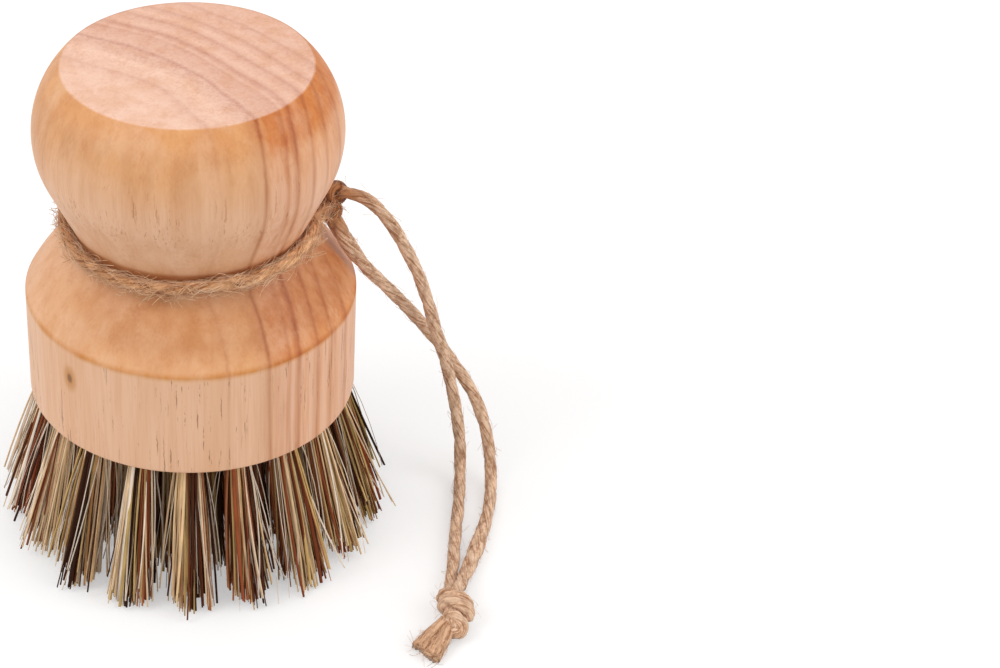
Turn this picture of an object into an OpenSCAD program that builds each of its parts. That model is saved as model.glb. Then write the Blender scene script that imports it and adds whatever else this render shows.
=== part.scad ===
// Palm brush: a turned wooden knob and base in one piece, tufts of plant fibre
// set in drilled holes with flat wire anchors, and a jute cord tied round the waist.
// Millimetres, +Z up. The origin is on the brush's axis, at the tips of the bristles.

/* [Wooden body] */
// Radius of the round base
base_r = 30; // [28:0.5:36]
// Height of the base's upright wall
wall_h = 21; // [16:0.5:30]
// Height of the waist above the base's rim
waist_rise = 13.2; // [11:0.2:18]
// Radius of the waist at its narrowest
waist_r = 21; // [19:0.5:23]
// Radius of the hollow turned round the waist
cove_r = 5; // [4.5:0.5:7]
// Height of the knob above the waist
knob_h = 31.8; // [30:0.2:40]
// Radius of the knob at its widest
knob_r = 27.4; // [26:0.2:31]
// Radius of the knob's flat top
top_r = 22; // [18:0.5:23.5]
// Distance of the knob's widest point below its flat top
knob_drop = 13; // [11:0.5:14]
// Radius of the domed slope between rim and waist
shoulder_r = 40; // [30:1:80]
// Rounding of the rim where the slope meets the wall
rim_round = 1; // [0.4:0.1:2]
// Rounding of the wall's lower edge
foot_round = 0.5; // [0.2:0.1:1]

/* [Bristles] */
// Length of the bristles below the base
bristle_l = 29; // [18:0.5:36]
// Diameter of the drilled tuft holes
hole_d = 4.5; // [4.2:0.1:5]
// Depth of the drilled tuft holes
hole_depth = 10; // [8:0.5:13]
// Distance from the base's wall to the outer holes' centres
hole_margin = 4.5; // [4:0.25:6]
// Lean of the outer tufts away from the axis, in degrees
outer_lean = 15.5; // [6:0.5:17]
// Width of one strand across its corners
strand_d = 0.8; // [0.5:0.05:0.85]
// Gap between neighbouring tufts at their tips
tip_gap = 0.8; // [0.4:0.1:3]
// How far the shorter strands end above the tips
uneven = 3; // [0:0.25:5]
// Gap between a packed tuft and its hole
tuft_gap = 0.1; // [0.05:0.01:0.15]

/* [Tuft anchors] */
// Thickness of the flat wire that holds a tuft
anchor_t = 0.5; // [0.3:0.05:0.7]
// Height of the anchor along the hole
anchor_h = 2.2; // [1.6:0.1:2.8]
// How far each end of an anchor bites into the wood
anchor_bite = 0.7; // [0.4:0.1:1]
// Thickness of the folded fibres over an anchor
fold_h = 1.4; // [1:0.1:2]
// Gap between an anchor and the cut that it sits in
anchor_gap = 0.05; // [0.02:0.01:0.1]

/* [Jute cord] */
// Diameter of the cord
cord_d = 2.4; // [2:0.1:2.6]
// Gap between the cord and the wood
cord_gap = 0.3; // [0.2:0.05:0.6]
// Direction of the knot at the waist, in degrees from +X
knot_angle = 10; // [10:1:12]
// Angle from the knot to where the cord first meets the waist, in degrees
lift_angle = 28; // [24:1:32]

/* [Hidden] */
$fn = 72;
RINGS = 3;
RING_NAMES = ["centre", "inner", "middle", "outer"];
TUFTS = [for (ring = [RINGS : -1 : 0]) for (k = [0 : max(1, 6 * ring) - 1]) [ring, k]];
function two_digits(n) = str(n < 10 ? "0" : "", n);
function tuft_name(t) = t[0] == 0 ? "tuft_centre" : str("tuft_", RING_NAMES[t[0]], "_", two_digits(t[1] + 1));

// Heights along the axis
base_z = bristle_l;
rim_z = base_z + wall_h;
waist_z = rim_z + waist_rise;
top_z = waist_z + knob_h;

// Plane geometry of the turned outline, as [radius, height]
function unit(a) = [cos(a), sin(a)];
function bearing(v) = atan2(v[1], v[0]);
rim = [base_r, rim_z];
cove_c = [waist_r + cove_r, waist_z];
knob_side = knob_r - top_r;
knob_arc = (knob_side * knob_side + knob_drop * knob_drop) / (2 * knob_side);
knob_c = [knob_r - knob_arc, top_z - knob_drop];

// The flank runs straight between the knob's arc and the hollow at the waist, touching both
flank_span = cove_c - knob_c;
flank_a = bearing(flank_span) + acos((knob_arc + cove_r) / norm(flank_span));
flank_top = knob_c + knob_arc * unit(flank_a);
flank_foot = cove_c - cove_r * unit(flank_a);

// The shoulder's arc passes the rim and touches the hollow
rise = cove_c - rim;
rise_l = norm(rise);
shoulder_span = shoulder_r + cove_r;
shoulder_cos = (pow(shoulder_r, 2) + pow(rise_l, 2) - pow(shoulder_span, 2)) / (2 * shoulder_r * rise_l);
shoulder_c = rim + shoulder_r * unit(bearing(rise) + acos(shoulder_cos));
shoulder_top = shoulder_c + shoulder_r * unit(bearing(cove_c - shoulder_c));

// The rim's rounding touches the wall and the shoulder's arc
round_x = base_r - rim_round;
round_c = [round_x, shoulder_c[1] + sqrt(pow(shoulder_r - rim_round, 2) - pow(round_x - shoulder_c[0], 2))];
round_top = shoulder_c + shoulder_r * unit(bearing(round_c - shoulder_c));

// Tufts: rings of holes, each ring leaning further out than the one inside it
ring_pitch = (base_r - hole_margin) / RINGS;
lean_growth = 1.5;
function lean(ring) = outer_lean * pow(ring / RINGS, lean_growth);
function turn(t) = t[0] == 0 ? 0 : (t[1] + 0.5) * 360 / (6 * t[0]);

// A tuft's strands stand in two rings, rooted in the packed plug of fibre that fills the hole
inner_strands = 3;
outer_strands = 9;
strand_count = inner_strands + outer_strands;
strand_sides = 3;
// Height in the hole at which the strands leave the plug
strand_root = 1;
// Height in the hole at which the plug begins
plug_lip = 0.4;
// Fibre left in the plug outside the outer strands
plug_skin = 0.2;
// Depth by which the longest strands are cut flat, where the brush stands on them
tip_cut = 0.5;
// Sideways drift of a strand's tip
wobble = 0.3;
tuft_r = hole_d / 2 - tuft_gap;
root_r = tuft_r - strand_d / 2 - plug_skin;
tip_pitch = ring_pitch + bristle_l * tan(lean(1));
tip_r = (tip_pitch - tip_gap - strand_d) / 2 - wobble * sqrt(2);

// The inner ring's radius as a share of the outer one's, and the angle that it is turned by
inner_share = 0.42;
inner_turn = 20;
function strand_spot(k, r) = k < inner_strands
    ? inner_share * r * unit(inner_turn + k * 360 / inner_strands)
    : r * unit((k - inner_strands) * 360 / outer_strands);

// The waist loop rounds the waist and lifts off it in two straight runs that meet at the knot
loop_r = waist_r + cord_gap + cord_d / 2;
knot_reach = loop_r / cos(lift_angle);
run_l = loop_r * tan(lift_angle);
// Length of each straight run that the knot takes up
run_stop = 1.6;

// Routes of the two legs, from the knot at the waist down to the table and along it
upper_route = [
    [27, 4.6, 66.2], [31.8, 3.6, 64.9], [35.8, 3.1, 60.6], [38.9, 3, 54.9], [41.5, 3, 49],
    [43.4, 3.2, 43], [45, 3.6, 37], [46.7, 4.1, 31.2], [48.1, 4.7, 25.4], [49.3, 5.3, 19.6],
    [50.3, 5.8, 13.8], [51, 6, 8.6], [51.2, 5, 4], [51, 1.2, 1.5], [50.5, -4, 1.3],
    [49.8, -9.5, 1.3], [49.1, -15, 1.3], [48.5, -20.5, 1.3], [47.8, -25.8, 1.6], [47, -30.2, 2.3]
];
lower_route = [
    [25.4, 3.9, 61.4], [28.2, 1.8, 57.2], [31.6, 1.9, 51.8], [35.4, 3.4, 46.6], [39, 5.4, 41.2],
    [42.2, 7.4, 36], [45.4, 8.9, 30.8], [48.4, 9.5, 26], [51.2, 9.5, 21.4], [53.8, 9, 16.6],
    [55.6, 8, 11.6], [56.7, 6.6, 6.8], [57.1, 3.6, 2.6], [56.8, -1.2, 1.3], [55.9, -6.6, 1.3],
    [54.6, -12, 1.3], [53, -17.2, 1.3], [51.4, -22.2, 1.4], [50.2, -26.4, 1.8], [49.6, -29.8, 2.3]
];
cord_sides = 8;
side_ref = [0.6, -0.5, 0.6];
function unit3(v) = v / norm(v);
function heading(route, i) = unit3(route[min(i + 1, len(route) - 1)] - route[max(i - 1, 0)]);

// One ring of points square to the route at its point i
function cord_ring(route, i) = let (
    ahead = heading(route, i),
    aside = unit3(cross(ahead, side_ref)),
    over = cross(ahead, aside)
) [for (s = [0 : cord_sides - 1])
    route[i] + cord_d / 2 * (aside * cos(s * 360 / cord_sides) + over * sin(s * 360 / cord_sides))];

// In a knot the cord is pulled a little thinner, round a heart of its own crossings
knot_squeeze = 0.1;
knot_strand_d = cord_d - knot_squeeze;
heart_share = 1.5;
knot_heart_d = heart_share * cord_d;

// Waist knot: the places of its two turns from the knot's heart, and how they are turned
waist_turn_at = [[1.2, 0.3, 2.4], [0.1, -0.2, -0.9]];
waist_turn_tilt = [[80, 0, 10], [65, 0, -20]];
waist_turn_r = [1.35, 1.3];

// End knot: its wide wrap and the smaller bump behind it, threaded on one heart
end_turn_at = [[48, -32.6, 3.1], [47.9, -38.2, 2.5]];
end_turn_tilt = [[55, 0, 0], [125, 0, 20]];
end_turn_r = [2.2, 1.25];
end_heart = [[48, -30.4, 2.6], [47.9, -39.8, 2.5]];

// The two cut ends widen towards their tips, where the twist opens
cut_end_starts = [[45.5, -39.6, 2], [47.8, -40.9, 2]];
cut_end_tips = [[40.9, -46.5, 1.65], [43.1, -48.6, 1.65]];
cut_end_r = 1.5;

// A straight rod from p to q whose ends are square to it
module rod(p, q, r_p, r_q, sides) {
    run = q - p;
    translate(p)
        rotate([0, acos(run[2] / norm(run)), bearing(run)])
            cylinder(r1 = r_p, r2 = r_q, h = norm(run), $fn = sides);
}

// A ring of cord round an axis along Z
module cord_turn(r, d) {
    rotate_extrude()
        translate([r, 0])
            circle(d = d);
}

// Tube along a route, closed at both ends
module cord_tube(route) {
    last = len(route) - 1;
    points = [for (i = [0 : last]) each cord_ring(route, i)];
    walls = [for (i = [0 : last - 1]) for (s = [0 : cord_sides - 1]) let (
        a = i * cord_sides + s,
        b = i * cord_sides + (s + 1) % cord_sides
    ) each [[a, b, a + cord_sides], [b, b + cord_sides, a + cord_sides]]];
    start_cap = [for (s = [1 : cord_sides - 2]) [0, s + 1, s]];
    end_cap = [for (s = [1 : cord_sides - 2]) [0, s, s + 1] + last * cord_sides * [1, 1, 1]];
    polyhedron(points = points, faces = concat(walls, start_cap, end_cap));
}

// Half outline of the turned body, from the axis outwards
module body_outline() {
    // Upright wall with its rounded lower edge
    translate([0, base_z])
        square([base_r - foot_round, round_c[1] - base_z]);
    translate([0, base_z + foot_round])
        square([base_r, round_c[1] - base_z - foot_round]);
    translate([base_r - foot_round, base_z + foot_round])
        circle(foot_round);
    // Rounded rim
    translate(round_c)
        circle(rim_round);
    polygon([[0, round_c[1]], round_c, round_top, [0, round_top[1]]]);
    // Domed shoulder
    intersection() {
        translate(shoulder_c)
            circle(shoulder_r);
        translate([0, round_top[1]])
            square([base_r, shoulder_top[1] - round_top[1]]);
    }
    // Hollow waist and the flank above it
    difference() {
        polygon([[0, shoulder_top[1]], shoulder_top, cove_c, flank_foot, flank_top, [0, flank_top[1]]]);
        translate(cove_c)
            circle(cove_r);
    }
    // Knob up to its flat top
    intersection() {
        translate(knob_c)
            circle(knob_arc);
        translate([0, flank_top[1]])
            square([knob_r, top_z - flank_top[1]]);
    }
}

// Puts children at a tuft's hole: +Z runs up the hole, the origin is in its mouth
module at_hole(t) {
    rotate([0, 0, turn(t)])
        translate([t[0] * ring_pitch, 0, base_z])
            rotate([0, -lean(t[0]), 0])
                children();
}

// The flat wire across a hole, with a gap all round it where it is a cut
module anchor(gap) {
    translate([0, 0, hole_depth - tuft_gap - fold_h - anchor_h / 2])
        cube([anchor_t + 2 * gap, hole_d + 2 * anchor_bite + 2 * gap, anchor_h + 2 * gap], center = true);
}

module wood_body() {
    color("burlywood")
        difference() {
            rotate_extrude()
                body_outline();
            for (t = TUFTS) {
                at_hole(t) {
                    translate([0, 0, -hole_d])
                        cylinder(d = hole_d, h = hole_depth + hole_d);
                    anchor(anchor_gap);
                }
            }
        }
}

// One strand of tuft number n: k gives its place, and the tip's height says how long it is
module strand(t, n, k) {
    drift = rands(-wobble, wobble, 2, n * strand_count + k);
    short = k % 2 == 0 ? -tip_cut : rands(0, uneven, 1, n + k * len(TUFTS))[0];
    root = strand_spot(k, root_r);
    tip = strand_spot(k, tip_r) + drift;
    reach = (base_z + tip[0] * sin(lean(t[0])) - short) / cos(lean(t[0]));
    rod([root[0], root[1], strand_root], [tip[0], tip[1], -reach], strand_d / 2, strand_d / 2, strand_sides);
}

// A tuft: fibres folded over their anchor, packed in the hole, and spread below it
module tuft(t, n) {
    color(n % 3 == 0 ? "saddlebrown" : n % 3 == 1 ? "tan" : "darkkhaki")
        difference() {
            at_hole(t) {
                difference() {
                    translate([0, 0, plug_lip])
                        cylinder(r = tuft_r, h = hole_depth - tuft_gap - plug_lip);
                    anchor(anchor_gap);
                }
                for (k = [0 : strand_count - 1]) strand(t, n, k);
            }
            // What lies below the surface that the brush stands on
            translate([-2 * base_r, -2 * base_r, -base_r])
                cube([4 * base_r, 4 * base_r, base_r]);
        }
}

module tuft_anchors() {
    color("silver")
        for (t = TUFTS) at_hole(t) anchor(0);
}

module cord_waist_loop() {
    color("peru")
        translate([0, 0, waist_z])
            rotate([0, 0, knot_angle]) {
                rotate([0, 0, lift_angle])
                    rotate_extrude(angle = 360 - 2 * lift_angle)
                        translate([loop_r, 0])
                            circle(d = cord_d);
                for (side = [-1, 1])
                    rotate([0, 0, side * lift_angle])
                        translate([loop_r, 0, 0])
                            rotate([side * 90, 0, 0])
                                cylinder(d = cord_d, h = run_l - run_stop);
            }
}

module cord_waist_knot() {
    color("peru")
        rotate([0, 0, knot_angle])
            translate([knot_reach, 0, waist_z]) {
                sphere(d = knot_heart_d);
                for (i = [0, 1])
                    translate(waist_turn_at[i])
                        rotate(waist_turn_tilt[i])
                            cord_turn(waist_turn_r[i], knot_strand_d);
            }
}

module cord_upper_leg() {
    color("peru")
        cord_tube(upper_route);
}

module cord_lower_leg() {
    color("peru")
        cord_tube(lower_route);
}

module cord_end_knot() {
    color("peru") {
        for (i = [0, 1])
            translate(end_turn_at[i])
                rotate(end_turn_tilt[i])
                    cord_turn(end_turn_r[i], knot_strand_d);
        rod(end_heart[0], end_heart[1], knot_heart_d / 2, knot_heart_d / 2, $fn);
    }
}

module cord_cut_ends() {
    color("peru")
        for (i = [0, 1])
            rod(cut_end_starts[i], cut_end_tips[i], cord_d / 2, cut_end_r, $fn);
}

wood_body();
for (n = [0 : len(TUFTS) - 1])
    tuft(TUFTS[n], n);
tuft_anchors();
cord_waist_loop();
cord_waist_knot();
cord_upper_leg();
cord_lower_leg();
cord_end_knot();
cord_cut_ends();
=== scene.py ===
"""Palm brush: a turned wooden knob and base in one piece, fanned tufts of stiff plant fibre, and a jute
cord tied round the waist. The sections follow the brush as it is made, from the lathe to the knotted cord."""

import math

import bpy
import bmesh
import numpy as np
from mathutils import Matrix, Vector, noise


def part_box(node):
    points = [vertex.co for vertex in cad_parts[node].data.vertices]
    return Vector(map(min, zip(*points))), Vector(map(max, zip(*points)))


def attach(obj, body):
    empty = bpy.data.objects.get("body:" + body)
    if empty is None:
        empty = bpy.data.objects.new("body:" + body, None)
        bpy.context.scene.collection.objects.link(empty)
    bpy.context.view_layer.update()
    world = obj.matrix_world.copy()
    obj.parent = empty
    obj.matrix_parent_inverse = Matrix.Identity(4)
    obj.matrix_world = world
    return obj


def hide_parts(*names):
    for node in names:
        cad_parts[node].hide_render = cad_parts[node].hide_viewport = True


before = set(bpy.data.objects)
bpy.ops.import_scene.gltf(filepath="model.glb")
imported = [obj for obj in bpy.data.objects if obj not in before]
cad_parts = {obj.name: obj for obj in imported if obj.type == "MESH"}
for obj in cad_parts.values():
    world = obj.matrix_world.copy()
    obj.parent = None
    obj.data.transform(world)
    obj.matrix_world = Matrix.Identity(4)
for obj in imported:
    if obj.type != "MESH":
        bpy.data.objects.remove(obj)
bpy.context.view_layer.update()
scene = bpy.context.scene
scene.view_settings.view_transform = "Standard"
mm = 0.001


# The view. The brush stands left of the middle of the picture and is seen from 35 degrees above,
# through a long lens, so that its sides hardly converge.
look_at = Vector((11.8, 0, 38)) * mm
eye_distance = 480 * mm
eye_height = math.radians(35.45)
camera = bpy.data.objects.new("camera", bpy.data.cameras.new("camera"))
scene.collection.objects.link(camera)
camera.location = look_at + eye_distance * Vector((0, -math.cos(eye_height), math.sin(eye_height)))
camera.rotation_euler = (math.pi / 2 - eye_height, 0, 0)
camera.data.sensor_width = 36
camera.data.lens = 93.9
camera.data.shift_x = 0.244
camera.data.clip_start = 0.01
scene.camera = camera


def node(tree, kind, inputs=None, **settings):
    """A new node of that kind, with its settings, and its inputs filled or linked."""
    made = tree.nodes.new(kind)
    for name, value in settings.items():
        setattr(made, name, value)
    for key, value in (inputs or {}).items():
        if isinstance(value, bpy.types.NodeSocket):
            tree.links.new(value, made.inputs[key])
        else:
            made.inputs[key].default_value = value
    return made


def paint(red, green, blue):
    """A colour as a paint chart gives it, from 0 to 255, in the scene's own light units."""
    shares = [c / 255 for c in (red, green, blue)]
    return [c / 12.92 if c <= 0.04045 else ((c + 0.055) / 1.055) ** 2.4 for c in shares] + [1]


# The studio. A white floor and a white surround, with a large soft lamp on the left and a weaker
# one on the right. The floor keeps the brush's soft shadow.
def seen_directly(tree):
    """1 for what the camera or a shiny surface sees, and 0 for light on its way to other surfaces."""
    path = node(tree, "ShaderNodeLightPath").outputs
    return node(tree, "ShaderNodeMath", {0: path["Is Camera Ray"], 1: path["Is Glossy Ray"]},
                operation="ADD", use_clamp=True).outputs[0]


def studio_floor():
    bpy.ops.mesh.primitive_plane_add(size=6, location=(0, 0, 0))
    floor = bpy.context.object
    floor.name = "studio_floor"
    material = bpy.data.materials.new("white_floor")
    material.use_nodes = True
    tree = material.node_tree
    tree.nodes.clear()
    lit = node(tree, "ShaderNodeBsdfDiffuse", {"Color": (0.62, 0.62, 0.62, 1)}).outputs[0]
    glow = node(tree, "ShaderNodeEmission", {"Color": (1, 1, 1, 1), "Strength": 0.42}).outputs[0]
    white = node(tree, "ShaderNodeAddShader", {0: lit, 1: glow}).outputs[0]
    chosen = node(tree, "ShaderNodeMixShader", {0: seen_directly(tree), 1: lit, 2: white})
    node(tree, "ShaderNodeOutputMaterial", {"Surface": chosen.outputs[0]})
    floor.data.materials.append(material)


def studio_surround():
    scene.world = bpy.data.worlds.new("surround")
    scene.world.use_nodes = True
    tree = scene.world.node_tree
    tree.nodes.clear()
    soft = node(tree, "ShaderNodeBackground", {"Color": (1, 1, 1, 1), "Strength": 0.84}).outputs[0]
    white = node(tree, "ShaderNodeBackground", {"Color": (1, 1, 1, 1), "Strength": 1.0}).outputs[0]
    chosen = node(tree, "ShaderNodeMixShader", {0: seen_directly(tree), 1: soft, 2: white})
    node(tree, "ShaderNodeOutputWorld", {"Surface": chosen.outputs[0]})


def softbox(name, place, size, power):
    """A round soft lamp that faces the brush."""
    lamp = bpy.data.lights.new(name, "AREA")
    lamp.shape = "DISK"
    lamp.size = size
    lamp.energy = power
    body = bpy.data.objects.new(name, lamp)
    scene.collection.objects.link(body)
    body.location = place
    body.rotation_euler = (Vector((0, 0, 50 * mm)) - Vector(place)).to_track_quat("-Z", "Y").to_euler()


studio_floor()
studio_surround()
softbox("key_softbox", (-0.85, -0.35, 0.9), 0.7, 4.0)
softbox("fill_softbox", (0.95, -0.35, 0.6), 0.8, 3.2)


# The wooden body. One piece of pale hardwood, turned on a lathe: base wall, domed shoulder, hollow
# waist and knob. The flat top is sanded end grain, and the underside is drilled for the tufts.
base_low, base_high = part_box("wood_body")
base_r = base_high.x
base_z = base_low.z
top_z = base_high.z
rim_z = 50 * mm
waist_z = 63.2 * mm
waist_r = 21 * mm
cove_r = 5 * mm
knob_r = 27.4 * mm
top_r = 22 * mm
knob_drop = 13 * mm
shoulder_r = 40 * mm
rim_round = 1 * mm
foot_round = 0.5 * mm
top_round = 0.35 * mm
hole_r = 2.25 * mm
hole_depth = 10 * mm
hole_margin = 4.5 * mm
outer_lean = math.radians(15.5)
lean_growth = 1.5
rings_of_tufts = 3
ring_pitch = (base_r - hole_margin) / rings_of_tufts


def unit(angle):
    return Vector((math.cos(angle), math.sin(angle)))


def bearing(v):
    return math.atan2(v.y, v.x)


def arc(centre, radius, start, stop, steps):
    """Points from one angle to another on a circle, both ends included."""
    return [centre + radius * unit(start + (stop - start) * i / steps) for i in range(steps + 1)]


def line(a, b, steps):
    """Points from a to b, without b."""
    return [a.lerp(b, i / steps) for i in range(steps)]


def body_outline():
    """The turned outline as (radius, height), from the middle of the top to the middle of the underside."""
    cove_c = Vector((waist_r + cove_r, waist_z))
    side = knob_r - top_r
    knob_arc = (side * side + knob_drop * knob_drop) / (2 * side)
    knob_c = Vector((knob_r - knob_arc, top_z - knob_drop))
    span = cove_c - knob_c
    flank = bearing(span) + math.acos((knob_arc + cove_r) / span.length)
    flank_foot = cove_c - cove_r * unit(flank)
    rim = Vector((base_r, rim_z))
    rise = cove_c - rim
    share = (shoulder_r**2 + rise.length**2 - (shoulder_r + cove_r) ** 2) / (2 * shoulder_r * rise.length)
    shoulder_c = rim + shoulder_r * unit(bearing(rise) + math.acos(share))
    round_x = base_r - rim_round
    round_rise = math.sqrt((shoulder_r - rim_round) ** 2 - (round_x - shoulder_c.x) ** 2)
    round_c = Vector((round_x, shoulder_c.y + round_rise))
    to_round = bearing(round_c - shoulder_c)
    to_cove = bearing(cove_c - shoulder_c)
    edge_c = Vector((top_r - top_round, top_z - top_round))
    edge = bearing(Vector((top_r, top_z)) - knob_c)
    points = line(Vector((0, top_z)), edge_c + Vector((0, top_round)), 14)
    points += arc(edge_c, top_round, math.pi / 2, edge, 6)
    points += arc(knob_c, knob_arc, edge - 0.01, flank, 60)
    points += line(knob_c + knob_arc * unit(flank), flank_foot, 12)[1:]
    points += arc(cove_c, cove_r, flank + math.pi, to_cove + math.pi, 22)
    points += arc(shoulder_c, shoulder_r, to_cove, to_round, 26)[1:]
    points += arc(round_c, rim_round, to_round, 0, 6)[1:]
    points += line(Vector((base_r, round_c.y)), Vector((base_r, base_z + foot_round)), 22)[1:]
    points += arc(Vector((base_r - foot_round, base_z + foot_round)), foot_round, 0, -math.pi / 2, 5)
    points += line(Vector((base_r - foot_round, base_z)), Vector((0, base_z)), 14)[1:]
    return points + [Vector((0, base_z))]


def add_mesh(name, points, faces):
    """A new mesh object at the origin."""
    data = bpy.data.meshes.new(name)
    data.from_pydata([tuple(p) for p in points], [], faces)
    data.update()
    made = bpy.data.objects.new(name, data)
    scene.collection.objects.link(made)
    return made


def turned(name, outline, segments):
    """A closed solid of revolution: the outline starts and ends on the axis."""
    points = [(0, 0, outline[0].y), (0, 0, outline[-1].y)]
    rings = outline[1:-1]
    for r, z in rings:
        for s in range(segments):
            a = 2 * math.pi * s / segments
            points.append((r * math.cos(a), r * math.sin(a), z))
    faces = []
    for s in range(segments):
        t = (s + 1) % segments
        faces.append((0, 2 + s, 2 + t))
        last = 2 + (len(rings) - 1) * segments
        faces.append((1, last + t, last + s))
        for i in range(len(rings) - 1):
            a = 2 + i * segments
            faces.append((a + s, a + segments + s, a + segments + t, a + t))
    return add_mesh(name, points, faces)


def lean(ring):
    return outer_lean * (ring / rings_of_tufts) ** lean_growth


def hole_place(ring, k):
    """Where a tuft's hole is: +Z runs up the hole, and the origin is in its mouth."""
    turn = 0 if ring == 0 else (k + 0.5) * 2 * math.pi / (6 * ring)
    out = Matrix.Translation((ring * ring_pitch, 0, base_z))
    return Matrix.Rotation(turn, 4, "Z") @ out @ Matrix.Rotation(-lean(ring), 4, "Y")


tufts = [(ring, k) for ring in range(rings_of_tufts, -1, -1) for k in range(max(1, 6 * ring))]


def cut_with(body, add_shape):
    """Cuts one shape out of the body at each hole."""
    shapes = bmesh.new()
    for ring, k in tufts:
        add_shape(shapes, hole_place(ring, k))
    data = bpy.data.meshes.new("cutter")
    shapes.to_mesh(data)
    shapes.free()
    cutter = bpy.data.objects.new("cutter", data)
    scene.collection.objects.link(cutter)
    cut = body.modifiers.new("holes", "BOOLEAN")
    cut.operation = "DIFFERENCE"
    cut.solver = "EXACT"
    cut.object = cutter
    made = bpy.data.meshes.new_from_object(body.evaluated_get(bpy.context.evaluated_depsgraph_get()))
    body.modifiers.clear()
    body.data = made
    bpy.data.objects.remove(cutter)


def drill(shapes, place):
    """A drill's cylinder, which starts a little below the hole's mouth."""
    depth = hole_depth + hole_r
    middle = place @ Matrix.Translation((0, 0, hole_depth - depth / 2))
    bmesh.ops.create_cone(shapes, cap_ends=True, segments=36, radius1=hole_r, radius2=hole_r, depth=depth,
                          matrix=middle)


anchor_t = 0.5 * mm
anchor_h = 2.2 * mm
anchor_w = 2 * hole_r + 1.4 * mm
anchor_gap = 0.05 * mm
anchor_z = 7.4 * mm


def bite(shapes, place):
    """The cut that the anchor's ends press into the wood."""
    size = Matrix.Diagonal([side + 2 * anchor_gap for side in (anchor_t, anchor_w, anchor_h)] + [1])
    bmesh.ops.create_cube(shapes, size=1, matrix=place @ Matrix.Translation((0, 0, anchor_z)) @ size)


class Tree:
    """A node tree, written as sums: each call adds a node and gives its output."""

    def __init__(self, tree):
        self.tree = tree
        tree.nodes.clear()

    def add(self, kind, inputs=None, **settings):
        return node(self.tree, kind, inputs, **settings)

    def out(self, kind, inputs=None, **settings):
        """A node's first output."""
        return self.add(kind, inputs, **settings).outputs[0]

    def maths(self, operation, a, b=0.0, c=0.0, clamp=False):
        return self.out("ShaderNodeMath", {0: a, 1: b, 2: c}, operation=operation, use_clamp=clamp)

    def product(self, first, *others):
        for other in others:
            first = self.maths("MULTIPLY", first, other)
        return first

    def linear(self, value, times, plus):
        return self.maths("MULTIPLY_ADD", value, times, plus)

    def vector(self, operation, a, b=(0, 0, 0)):
        return self.out("ShaderNodeVectorMath", {0: a, 1: b}, operation=operation)

    def scaled(self, place, by):
        """A vector times three numbers, or times one value."""
        if isinstance(by, tuple):
            return self.vector("MULTIPLY", place, by)
        return self.out("ShaderNodeVectorMath", {0: place, "Scale": by}, operation="SCALE")


class Finish(Tree):
    """A material. Its noises have so many bumps a unit along each axis."""

    def __init__(self, name):
        self.material = bpy.data.materials.new(name)
        self.material.use_nodes = True
        super().__init__(self.material.node_tree)

    def place(self):
        """The place on the object, in millimetres."""
        return self.scaled(self.add("ShaderNodeTexCoord").outputs["Object"], (1000, 1000, 1000))

    def noise(self, place, scale, detail=2.0, rough=0.5, out="Fac"):
        inputs = {"Vector": self.scaled(place, scale), "Scale": 1.0, "Detail": detail, "Roughness": rough}
        return self.add("ShaderNodeTexNoise", inputs).outputs[out]

    def shaken(self, place, at, scale, detail, reach):
        """A place pushed aside by noise."""
        push = self.vector("SUBTRACT", self.noise(at, scale, detail, out="Color"), (0.5, 0.5, 0.5))
        return self.vector("ADD", place, self.scaled(push, reach))

    def distance(self, place, spot):
        away = self.vector("SUBTRACT", place, spot)
        return self.add("ShaderNodeVectorMath", {0: away}, operation="LENGTH").outputs["Value"]

    def span(self, value, low, high, to_low=0.0, to_high=1.0, kind="SMOOTHSTEP"):
        """A value's way from low to high, turned into a way from to_low to to_high."""
        inputs = {"Value": value, "From Min": low, "From Max": high, "To Min": to_low, "To Max": to_high}
        return self.add("ShaderNodeMapRange", inputs, interpolation_type=kind).outputs["Result"]

    def ramp(self, value, stops):
        made = self.add("ShaderNodeValToRGB", {"Fac": value})
        entries = made.color_ramp.elements
        entries.remove(entries[1])
        entries[0].position, entries[0].color = stops[0]
        for position, colour in stops[1:]:
            entries.new(position).color = colour
        return made.outputs["Color"]

    def mix(self, share, a, b, how="MIX"):
        return self.add("ShaderNodeMix", {"Factor": share, 6: a, 7: b}, data_type="RGBA",
                        blend_type=how).outputs[2]

    def stained(self, colour, share, tint):
        """A colour with a thin stain over a share of it."""
        if isinstance(tint, tuple):
            tint = (*tint, 1)
        return self.mix(share, colour, self.mix(1.0, colour, tint, "MULTIPLY"))

    def finish(self, colour, roughness, relief=None, relief_depth=0.1 * mm, **sockets):
        """Ends in the surface: its colour, its roughness, and its relief as a height."""
        inputs = {"Base Color": colour, "Roughness": roughness, **sockets}
        if relief is not None:
            inputs["Normal"] = self.out("ShaderNodeBump", {"Height": relief, "Distance": relief_depth})
        self.add("ShaderNodeOutputMaterial", {"Surface": self.out("ShaderNodeBsdfPrincipled", inputs)})
        return self.material


def ring_shades():
    """How dark the wood is at each distance from the pith: every year darkens slowly and ends in a line."""
    years = [(52.6, 3.4, 0.03, 0.34), (60.5, 4.4, 0.0, 1.0), (64.9, 3.6, 0.22, 0.62), (66.9, 1.5, 0.3, 0.95),
             (70.9, 3.0, 0.05, 0.75), (74.5, 2.4, 0.03, 0.65), (78.7, 2.8, 0.1, 0.6)]
    stops = []
    for end, dark_width, early, late in years:
        stops += [(end - dark_width, early), (end - 1.1, early + 0.4 * (late - early)), (end - 0.45, late),
                  (end + 0.2, 0.25 * late)]
    return stops


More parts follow.
